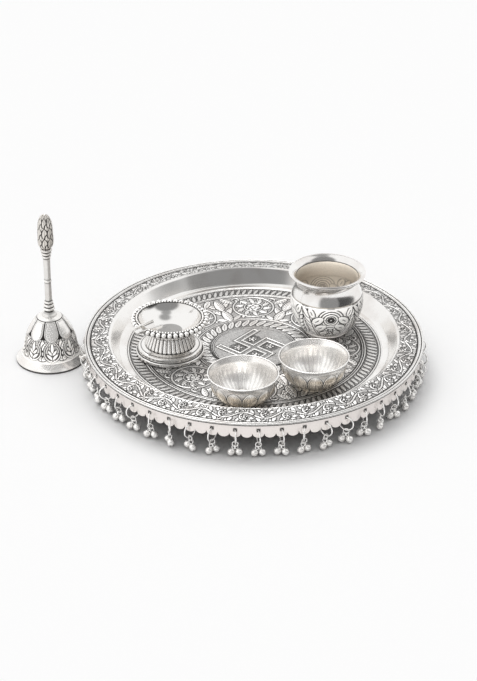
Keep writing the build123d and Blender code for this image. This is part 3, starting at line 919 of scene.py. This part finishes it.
def make_katori(name, at, turn_deg):
    """A bowl with petals that swell from its foot and end in points under a plain collar."""
    lip_r, lip_z = KATORI_R - KATORI_LIP, KATORI_H - KATORI_LIP
    t = np.linspace(0, 1, 70)[:, None]
    # A smooth line through stations, as shares of the height and of the spread from foot to lip
    share = np.array([0.0, 0.08, 0.28, 0.50, 0.70, 0.83, 1.0])
    spread = np.array([0.0, 0.04, 0.46, 0.72, 0.82, 0.86, 1.0])
    tangent = np.gradient(spread, share)
    k = np.clip(np.searchsorted(share, t, side="right") - 1, 0, len(share) - 2)
    gap = share[k + 1] - share[k]
    path = span((t - share[k]) / gap, spread[k], gap * tangent[k], spread[k + 1], gap * tangent[k + 1])
    r, z = KATORI_FOOT_R + path * (lip_r - KATORI_FOOT_R), t * lip_z

    # Petals, with lines along their edges and their middles
    fraction = across(KATORI_PETALS, 40)
    cols = len(fraction)
    wide = 2 * pi * r / KATORI_PETALS
    reach = 0.5 * rounded(np.clip((t - 0.46) / 0.34, 0, 1)) ** 1.24
    inside = (reach - np.abs(fraction)) * wide
    crown = np.interp(t, [0, 0.08, 0.28, 0.5, 0.72, 0.8], [0, 0.1, 0.8, 1.0, 0.5, 0])
    swell = 1.25 * crown * rounded(1 - np.clip(inside / (0.5 * wide), 0, 1))
    outline = ridge(inside, 0.42) * (t < 0.8)
    inner_lines = ridge(inside - 1.5, 0.34) + 0.7 * ridge(inside - 3.0, 0.34)
    inner_lines = inner_lines * ((t < 0.78) & (t > 0.10))
    midrib = ridge(fraction * wide, 0.35) * ((t > 0.15) & (t < 0.66))
    # A painted shadow line just under the collar's roll, laid with the chased lines
    shade_under_collar = ridge(t - 0.955, 0.014)
    worn_out = np.clip(0.98 - outline - 0.78 * inner_lines - 0.55 * midrib - 0.75 * shade_under_collar, 0, 1)
    warmth = 0.95 * ease((0.80 - t) / 0.2) * ease(inside / 0.8)
    # Painted reflections: soft upright streaks on the inside below the collar
    reflection_streak = 0.5 + 0.5 * np.cos(2 * pi * fraction * 3 + 0.8)
    worn_in = 0.82 - 0.16 * reflection_streak * ease((0.85 - t[::-1]) / 0.3)

    foot_line = [(0.3, 0.5), (12.2, 0.5), (12.6, 0.0), (13.7, 0.0), (KATORI_FOOT_R, 0.05)]
    wall = np.hstack([r - VESSEL_SHEET, np.maximum(z, KATORI_FLOOR_Z)])[::-1]
    bottom = np.array([(KATORI_FOOT_R - VESSEL_SHEET, KATORI_FLOOR_Z), (8, 0.95), (3, 0.9), (0.3, 0.9)])
    grids = [
        turned(even(foot_line, 0.8), cols // 4),
        turned(np.hstack([r, z]), cols, swell - 0.35 * outline - 0.16 * inner_lines),
        turned(arc((lip_r, lip_z), KATORI_LIP, -40, 190, 10), cols // 2),
        turned(wall, cols, -0.12 * swell[::-1]),
        turned(bottom, cols // 4),
    ]
    worn = [0.7, worn_out, None, worn_in, 0.62]
    warm = [0.3, warmth, None, 0.05, 0.05]
    return make_mesh(name, grids, worn, warm, at=at, turn_deg=turn_deg)


for label, at, turn_deg in (("katori_front", KATORI_FRONT_AT, -92), ("katori_right", KATORI_RIGHT_AT, -74)):
    bowl = make_katori(f"{label}_petalled", at, turn_deg)
    add_piece(bowl, label, [label], BRUSHED)


# Diya

DIYA_H = 33.0
DIYA_BASE_H = 8.6
DIYA_STEM_TOP = (16.5, 19.0)
DIYA_RIM_Z = 28.6
DIYA_RIBS = 34
DIYA_LOBES = 30
SPOUT_DEG = 222.0
SPOUT_GAP_DEG = 12.0


def make_diya_base():
    section = [
        (0.3, 0.0), (27.6, 0.0), (28.2, 0.6), (28.2, 2.6), (27.7, 3.2), (26.9, 3.4), (26.4, 3.9), (26.4, 6.0),
        (25.9, 6.7), (24.6, 7.3), (23.8, 7.3), (22.4, 8.0), (21.5, 8.55), (0.3, DIYA_BASE_H),
    ]
    profile = even(section, 0.35)
    worn = np.ones((len(profile), 1))
    for step, reach, level in (((26.8, 3.5), 0.5, 0.04), ((24.1, 7.3), 0.4, 0.3)):
        worn[np.linalg.norm(profile - step, axis=1) < reach] = level
    return make_mesh("diya_base_turned", [turned(profile, 192)], [worn], at=DIYA_AT)


def diya_beads():
    """Two rows of beads on the rim, clear of the spout: small ones on its edge and lobes round its side."""
    beads = []
    for count, distance, z, radius, flat in ((72, 27.2, 32.2, 0.95, 1.0), (40, 30.0, 30.9, 2.15, 0.98)):
        bead = turned(arc((0, 0), radius, -90, 90, 8), 12) * (1.0, flat, flat)
        for k in range(count):
            off = (k + 0.5) * 360 / count
            if min(off, 360 - off) >= SPOUT_GAP_DEG:
                beads.append(spun_about(bead + (distance, 0, z), "Z", off))
    return beads


def diya_spout():
    """Half a hollow cone, as an open sheet, with a cap at each end."""
    s = np.linspace(0, 1, 30)[:, None]
    x = 13.0 + s * 22.0
    radius = 6.6 - s * 2.6
    around = np.radians(np.linspace(180, 360, 19))

    def half_cone(radius):
        return np.stack([x + 0 * around, radius * np.cos(around), DIYA_H + radius * np.sin(around)], 2)

    outer, inner = half_cone(radius), half_cone(radius - 1.1)
    trough = np.concatenate([outer, inner[:, ::-1], outer[:, :1]], 1)
    near, far = (np.stack([outer[end], inner[end]]) for end in (0, -1))
    return [trough[::-1], near[::-1], far]


def make_diya_bowl():
    """The ribbed bowl with its beads and, apart from it, the smooth bowl, rim and spout."""
    stem_r, stem_z = DIYA_STEM_TOP
    t = np.linspace(0, 1, 30)[:, None]
    stem = np.hstack([stem_r + 4.1 * (1 - t), DIYA_BASE_H + (stem_z - DIYA_BASE_H) * t])
    rib = rounded(2 * np.abs(across(DIYA_RIBS, 16)), 2.2) * rounded(1 - np.clip(t / 0.14, 0, 1))
    t = np.linspace(0, 1, 24)[:, None]
    under = np.hstack([stem_r + 12.5 * t, stem_z + (DIYA_RIM_Z - stem_z) * t])
    petal = rounded(2 * np.abs(across(DIYA_LOBES, 14)), 2.4)
    beads = diya_beads()
    grids = [turned(stem, rib.shape[1], 1.3 * rib - 0.4), turned(under, len(petal), 0.35 * petal - 0.35)]
    worn = [ease((rib - 0.42) / 0.42), ease((petal - 0.15) / 0.5)] + [None] * len(beads)

    # Smooth bowl with a flat well, and a rim that is open where the spout passes
    well_r = 10.0
    well = smooth_line([(well_r, 20.5), (26.0, DIYA_H)], [(1, 0.25), (0.35, 1)], 40)
    well = even(well[well[:, 1] < 32.3][::-1], 0.5)
    bowl = np.vstack([well, [(9.3, 20.2), (8, 20.15), (0.3, 20.15)]])
    rim = np.vstack([
        arc((29.4, 30.4), 1.7, -90, 80, 12),
        arc((26.6, 31.8), 0.6, 95, 250, 8),
        [(27.5, DIYA_RIM_Z), (29.4, DIYA_RIM_Z + 0.1)],
    ])
    gap = radians(SPOUT_GAP_DEG - 1.5)
    sheets = [
        swept(bowl, np.linspace(0, 2 * pi, 257)),
        swept(rim, np.linspace(gap, 2 * pi - gap, 220)),
        *diya_spout(),
    ]
    # The flat well is darker than the rest of the bowl
    bowl_worn = np.where(bowl[:, :1] < well_r + 0.3, 0.42, 1.0)
    place = {"at": DIYA_AT, "turn_deg": SPOUT_DEG}
    ribbed = make_mesh("diya_bowl_ribbed", grids + beads, worn, **place)
    worn = [bowl_worn, 0.10, None, None, None]
    return ribbed, make_mesh("diya_rim_and_spout", sheets, worn, closed=False, **place)


add_piece(make_diya_base(), "diya", ["diya_base"], POLISHED)
diya_mesh, diya_rim_mesh = make_diya_bowl()
add_piece(diya_mesh, "diya", ["diya_bowl"], BRUSHED)
diya_rim = add_piece(diya_rim_mesh, "diya", [], POLISHED)


# Hand bell

BELL_H = 133.0
BELL_CUP_H = 41.0
BELL_DRAWN_R = 20.5
BELL_REPEATS = 8
BELL_COLS_EACH = 60
BELL_TURN_DEG = -104
FINIAL_Z = BELL_H - 30.5
HANDLE_FOOT_Z = BELL_CUP_H + 4.5
COLLAR_WIRE = 1.2
COLLAR_STEP = 3.0


def draw_bell_panels(f):
    """A large leaf with small ones on it, and columns of leaves on both sides."""
    for side in (-1, 1):
        for k in range(3):
            f.leaf(side * f.length / 2, 2.0 + 4.6 * k, 90 + side * (38 - 6 * k), 8.0, 3.6, veins=2.0)
    f.leaf(f.length / 2, 12, 90, 8.5, 4.0)
    f.leaf(0, 1.0, 90, 19.5, 14.2, top=0.9, rib=0.0, blunt=0.7)
    f.leaf(0, 2.4, 90, 16.6, 11.4, top=0.55, rib=0.0, blunt=0.7)
    for side in (-1, 1):
        for k in range(3):
            f.leaf(0, 3.4 + 3.6 * k, 90 - side * (44 - 5 * k), 6.6 - 0.8 * k, 2.6, rib=0.2)
    f.leaf(0, 9.0, 90, 9.0, 3.0)


def make_bell_cup():
    """The chased band of the cup, and its smooth lip, crown and inside."""
    points = np.array([(29.4, 1.6), (22.2, 14.0), (17.3, 30.0), (6.4, BELL_CUP_H)])
    directions = [(-1.0, 0.7), (-0.15, 1.0), (-0.6, 1.0), (-1.0, 0.0)]
    inside = points + 1.6 * to_the_left(directions)
    outside = even(smooth_line(points, directions), 0.42)
    run = run_along(outside)
    y = run[:, None]
    band_low, band_high, tip, crown = np.interp((7.0, 26.5, 24.5, 39.2), outside[:, 1], run)
    cols = BELL_REPEATS * BELL_COLS_EACH
    panels = chased_round(draw_bell_panels, run - band_low, cols, BELL_REPEATS, BELL_DRAWN_R, 0.60)
    h = np.where((y > band_low) & (y < band_high), panels, 1.0)

    # Tongues that hang from the crown over the band
    length = 2 * pi * BELL_DRAWN_R / BELL_REPEATS
    x = across(BELL_REPEATS, BELL_COLS_EACH) * length
    round_end = 0.48 * length
    reach = 0.47 * length * rounded(np.clip((tip + round_end - y) / round_end, 0, 1))
    narrow = np.maximum(outside[:, :1] / BELL_DRAWN_R, 0.4)
    tongue = np.minimum((reach - np.abs(x)) * narrow, crown - y)
    level = np.where(np.abs(tongue - 1.25) < 0.28, 0.35, 1.0) * ease(tongue / 0.5)
    over = (tongue > -0.45) & (y > tip - 0.6)
    h = np.where(over, level, np.where(y > band_high, np.where(y > crown, 1.0, 0.05), h))
    h = np.maximum(h, ridge(y - band_low, 0.55))

    cup = turned(outside, cols, (h - 1) * CHASE_DEPTH + 0.1 * (y > band_low))
    lip = [(29.3, 0.0), (29.4, 0.3), (29.4, 1.6)]
    crown_cap = np.array([(6.4, BELL_CUP_H), (4.0, BELL_CUP_H + 0.05), (2.2, BELL_CUP_H + 0.05)])
    within = np.vstack([
        [(2.2, 39.4), (4.5, 39.4), inside[-1]],
        even(smooth_line(inside, directions)[::-1], 1.0),
        [(27.8, 0.2), (28.0, 0.0), (29.3, 0.0)],
    ])
    first, last = int(np.argmax(run > band_low - 0.3)), int(np.argmax(run > tip))
    grids = [
        turned(even(lip, 0.4), cols),
        cup[:first + 1],
        cup[last:],
        turned(crown_cap, cols // 4),
        turned(within, cols // 2),
    ]
    # The lip's bottom edge is painted dark, a painted contact shadow along the floor
    worn = [0.1, h[:first + 1], h[last:], 0.9, 0.6]
    warm = [0.05, 0.05, 0.05, 0.05, 0.15]
    place = {"at": BELL_AT, "turn_deg": BELL_TURN_DEG}
    middle = slice(first, last + 1)
    band = make_mesh("bell_cup_chased", [cup[middle]], [h[middle]], [0.10], **place)
    return band, make_mesh("bell_cup_polished", grids, worn, warm, **place)


def collars(radii, first_z):
    """Round collars, one above the other."""
    rounds = []
    for k, radius in enumerate(radii):
        centre = (radius - COLLAR_WIRE, first_z + k * COLLAR_STEP)
        rounds.append(arc(centre, COLLAR_WIRE, -78, 78, 8))
    return np.vstack(rounds)


def draw_bud(f):
    """Rows of petals from the tip down, each over the gaps of the one above."""
    top = f.y[-1, 0]
    for row in range(7):
        for place in ((-0.5, 0.5) if row % 2 else (0.0,)):
            f.leaf(place * f.length, top - 8.4 - 4.6 * row, 90, 8.6, 1.02 * f.length, rib=0.4, blunt=0.5)


def make_bell_handle():
    """The turned shaft and its bud of overlapping petals."""
    middle_z = 0.5 * (BELL_CUP_H + FINIAL_Z) + 1
    shaft = np.vstack([
        [(6.2, BELL_CUP_H), (6.25, BELL_CUP_H + 0.6), (4.4, BELL_CUP_H + 2.4), (3.4, BELL_CUP_H + 4.0)],
        collars((4.9, 4.4, 3.9), HANDLE_FOOT_Z + 0.5 * COLLAR_STEP),
        [(3.0, HANDLE_FOOT_Z + 9.2)],
        [(2.8, middle_z - 1.2), (3.2, middle_z - 0.5), (3.2, middle_z + 0.5), (2.8, middle_z + 1.2)],
        [(3.0, FINIAL_Z - 9.4)],
        collars((3.9, 4.4, 4.9), FINIAL_Z - 2.5 * COLLAR_STEP),
    ])
    shaft = even(shaft, 0.4)
    # Dark where the shaft is thinner than the mean of its neighbourhood
    mean = np.convolve(shaft[:, 0], np.ones(9) / 9, "same")
    mean[:5], mean[-5:] = shaft[:5, 0], shaft[-5:, 0]
    shaft_worn = np.clip(0.66 + 2.4 * (shaft[:, 0] - mean), 0.05, 1)[:, None]

    bud_h = BELL_H - FINIAL_Z
    points = [(3.4, FINIAL_Z), (6.5, FINIAL_Z + 0.2 * bud_h), (5.9, FINIAL_Z + 0.72 * bud_h), (0.15, BELL_H)]
    directions = [(1.0, 0.6), (0, 1), (-0.1, 1), (-1, 0)]
    bud = even(smooth_line(points, directions), 0.3)
    run = run_along(bud)
    h = chased_round(draw_bud, run, 192, 8, 6.0)
    h = np.maximum(h, ease((run - run[-1] + 1.4) / 0.6)[:, None])
    cap = even([(3.9, FINIAL_Z - 0.2), (3.4, FINIAL_Z)], 0.2)
    grids = [turned(shaft, 96), turned(cap, 96), turned(bud, h.shape[1], (h - 1) * 0.75 + 0.1)]
    worn = [shaft_worn, 0.1, np.clip(0.85 * h - 0.12, 0, 1)]
    return make_mesh("bell_handle_turned", grids, worn, [0.10, 0.2, 0.38], at=BELL_AT)


band_mesh, cup_mesh = make_bell_cup()
add_piece(band_mesh, "bell", ["bell_cup"], FROSTED)
cup_piece = add_piece(cup_mesh, "bell", [], BRUSHED)
add_piece(make_bell_handle(), "bell", ["bell_handle"], BRUSHED)

# Staple and clapper keep their solids
for label in ("clapper_staple", "bell_clapper"):
    for material_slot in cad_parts[label].material_slots:
        material_slot.material = CAST


# Floor, light and camera

FLOOR_REACH = 6.0        # this and the camera's place are in metres
CAMERA_TARGET = (-0.01276, 0.0, 0.0259)
CAMERA_DISTANCE = 1.7
CAMERA_UP_DEG = 29.25
FOCAL_PX = 2054.0
PHOTO_H_PX = 681
SENSOR_H = 36.0

# Dark parts of the room: direction, cosines at the edge and where it is full, strength
DARK_PARTS = (
    ((0.22, -0.86, 0.46), 0.70, 0.80, 0.27),
    ((0.88, -0.45, -0.15), 0.74, 0.86, 0.07),
    ((0.17, -0.28, 0.95), 0.960, 0.985, 0.36),
    ((0.19, 0.08, 0.98), 0.960, 0.985, 0.36),
)


def make_floor():
    """A floor that is white where it is seen, and darker in the light that it throws back."""
    mesh = bpy.data.meshes.new("floor")
    corners = [(x * FLOOR_REACH, y * FLOOR_REACH, 0) for x, y in ((-1, -1), (1, -1), (1, 1), (-1, 1))]
    mesh.from_pydata(corners, [], [(0, 1, 2, 3)])
    material = bpy.data.materials.new("white_floor")
    nodes = Nodes(material)
    seen = nodes.add("LightPath", "Is Camera Ray")
    for ray in ("Is Glossy Ray", "Is Transmission Ray"):
        seen = nodes.math("MAXIMUM", seen, nodes.add("LightPath", ray))
    tone = nodes.mix(seen, (0.45, 0.45, 0.45, 1), (0.97, 0.97, 0.97, 1))
    # The lift to white ends where the object stands over the floor, so that its shadow stays
    open_sky = nodes.add("AmbientOcclusion", "AO", {"Distance": 0.15})
    lift = nodes.math("MULTIPLY", seen, nodes.ranged(open_sky, 0.6, 1.0, 0.0, 0.07))
    nodes.end_material(
        Base_Color=tone, Roughness=0.9, Specular_IOR_Level=0.1, Emission_Color=WHITE, Emission_Strength=lift
    )
    mesh.materials.append(material)
    floor = add_object("floor", mesh)
    return floor


def make_world():
    """White for the camera, white with dark parts for the metal, and light from above for the rest."""
    world = bpy.data.worlds.new("studio")
    bpy.context.scene.world = world
    nodes = Nodes(world)
    towards = nodes.add("TexCoord", "Generated")
    room = None
    for direction, edge, full, level in DARK_PARTS:
        facing = {0: towards, 1: Vector(direction).normalized()}
        facing = nodes.add("VectorMath", "Value", facing, operation="DOT_PRODUCT")
        part = nodes.ranged(facing, edge, full, 1.0, level)
        room = part if room is None else nodes.math("MINIMUM", room, part)
    height = nodes.add("SeparateXYZ", "Z", {"Vector": towards})
    sky = nodes.ranged(height, 0.08, 1.0, 0.0, 0.96)

    def white(strength):
        return nodes.add("Background", "Background", {"Color": WHITE, "Strength": strength})

    def by_ray(ray, others, these):
        return nodes.add("MixShader", "Shader", {"Fac": nodes.add("LightPath", ray), 1: others, 2: these})

    unseen = by_ray("Is Glossy Ray", white(sky), white(room))
    nodes.add("OutputWorld", inputs={"Surface": by_ray("Is Camera Ray", unseen, white(1.0))})


def make_light(name, towards, spread_deg, strength):
    """A soft sun, the same over the whole floor."""
    data = bpy.data.lights.new(name, "SUN")
    data.angle = radians(spread_deg)
    data.energy = strength
    light = add_object(name, data)
    light.rotation_euler = Vector(towards).to_track_quat("-Z", "Y").to_euler()
    return light


def screen(light, *pieces):
    """Keep a light off these pieces."""
    screened = bpy.data.collections.new(f"screened_from_{light.name}")
    for piece in pieces:
        screened.objects.link(piece)
    for member in screened.collection_objects:
        member.light_linking.link_state = "EXCLUDE"
    light.light_linking.receiver_collection = screened


def make_camera():
    data = bpy.data.cameras.new("camera")
    data.sensor_fit = "VERTICAL"
    data.sensor_height = SENSOR_H
    data.lens = FOCAL_PX / PHOTO_H_PX * SENSOR_H
    data.clip_end = 50.0
    camera = add_object("camera", data)
    back = Vector((0, -cos(radians(CAMERA_UP_DEG)), sin(radians(CAMERA_UP_DEG))))
    camera.location = Vector(CAMERA_TARGET) + CAMERA_DISTANCE * back
    camera.rotation_euler = back.to_track_quat("Z", "Y").to_euler()
    bpy.context.scene.camera = camera


floor = make_floor()
make_world()
top = make_light("top", (0.16, -0.40, -0.90), 40, 1.12)
screen(top, wall_piece, neck_piece, diya_rim, cup_piece)
front = make_light("front", (0.30, 0.80, -0.50), 60, 3.70)
front.visible_glossy = False
screen(front, floor, tray_piece)
make_camera()
bpy.context.scene.view_settings.view_transform = "Standard"
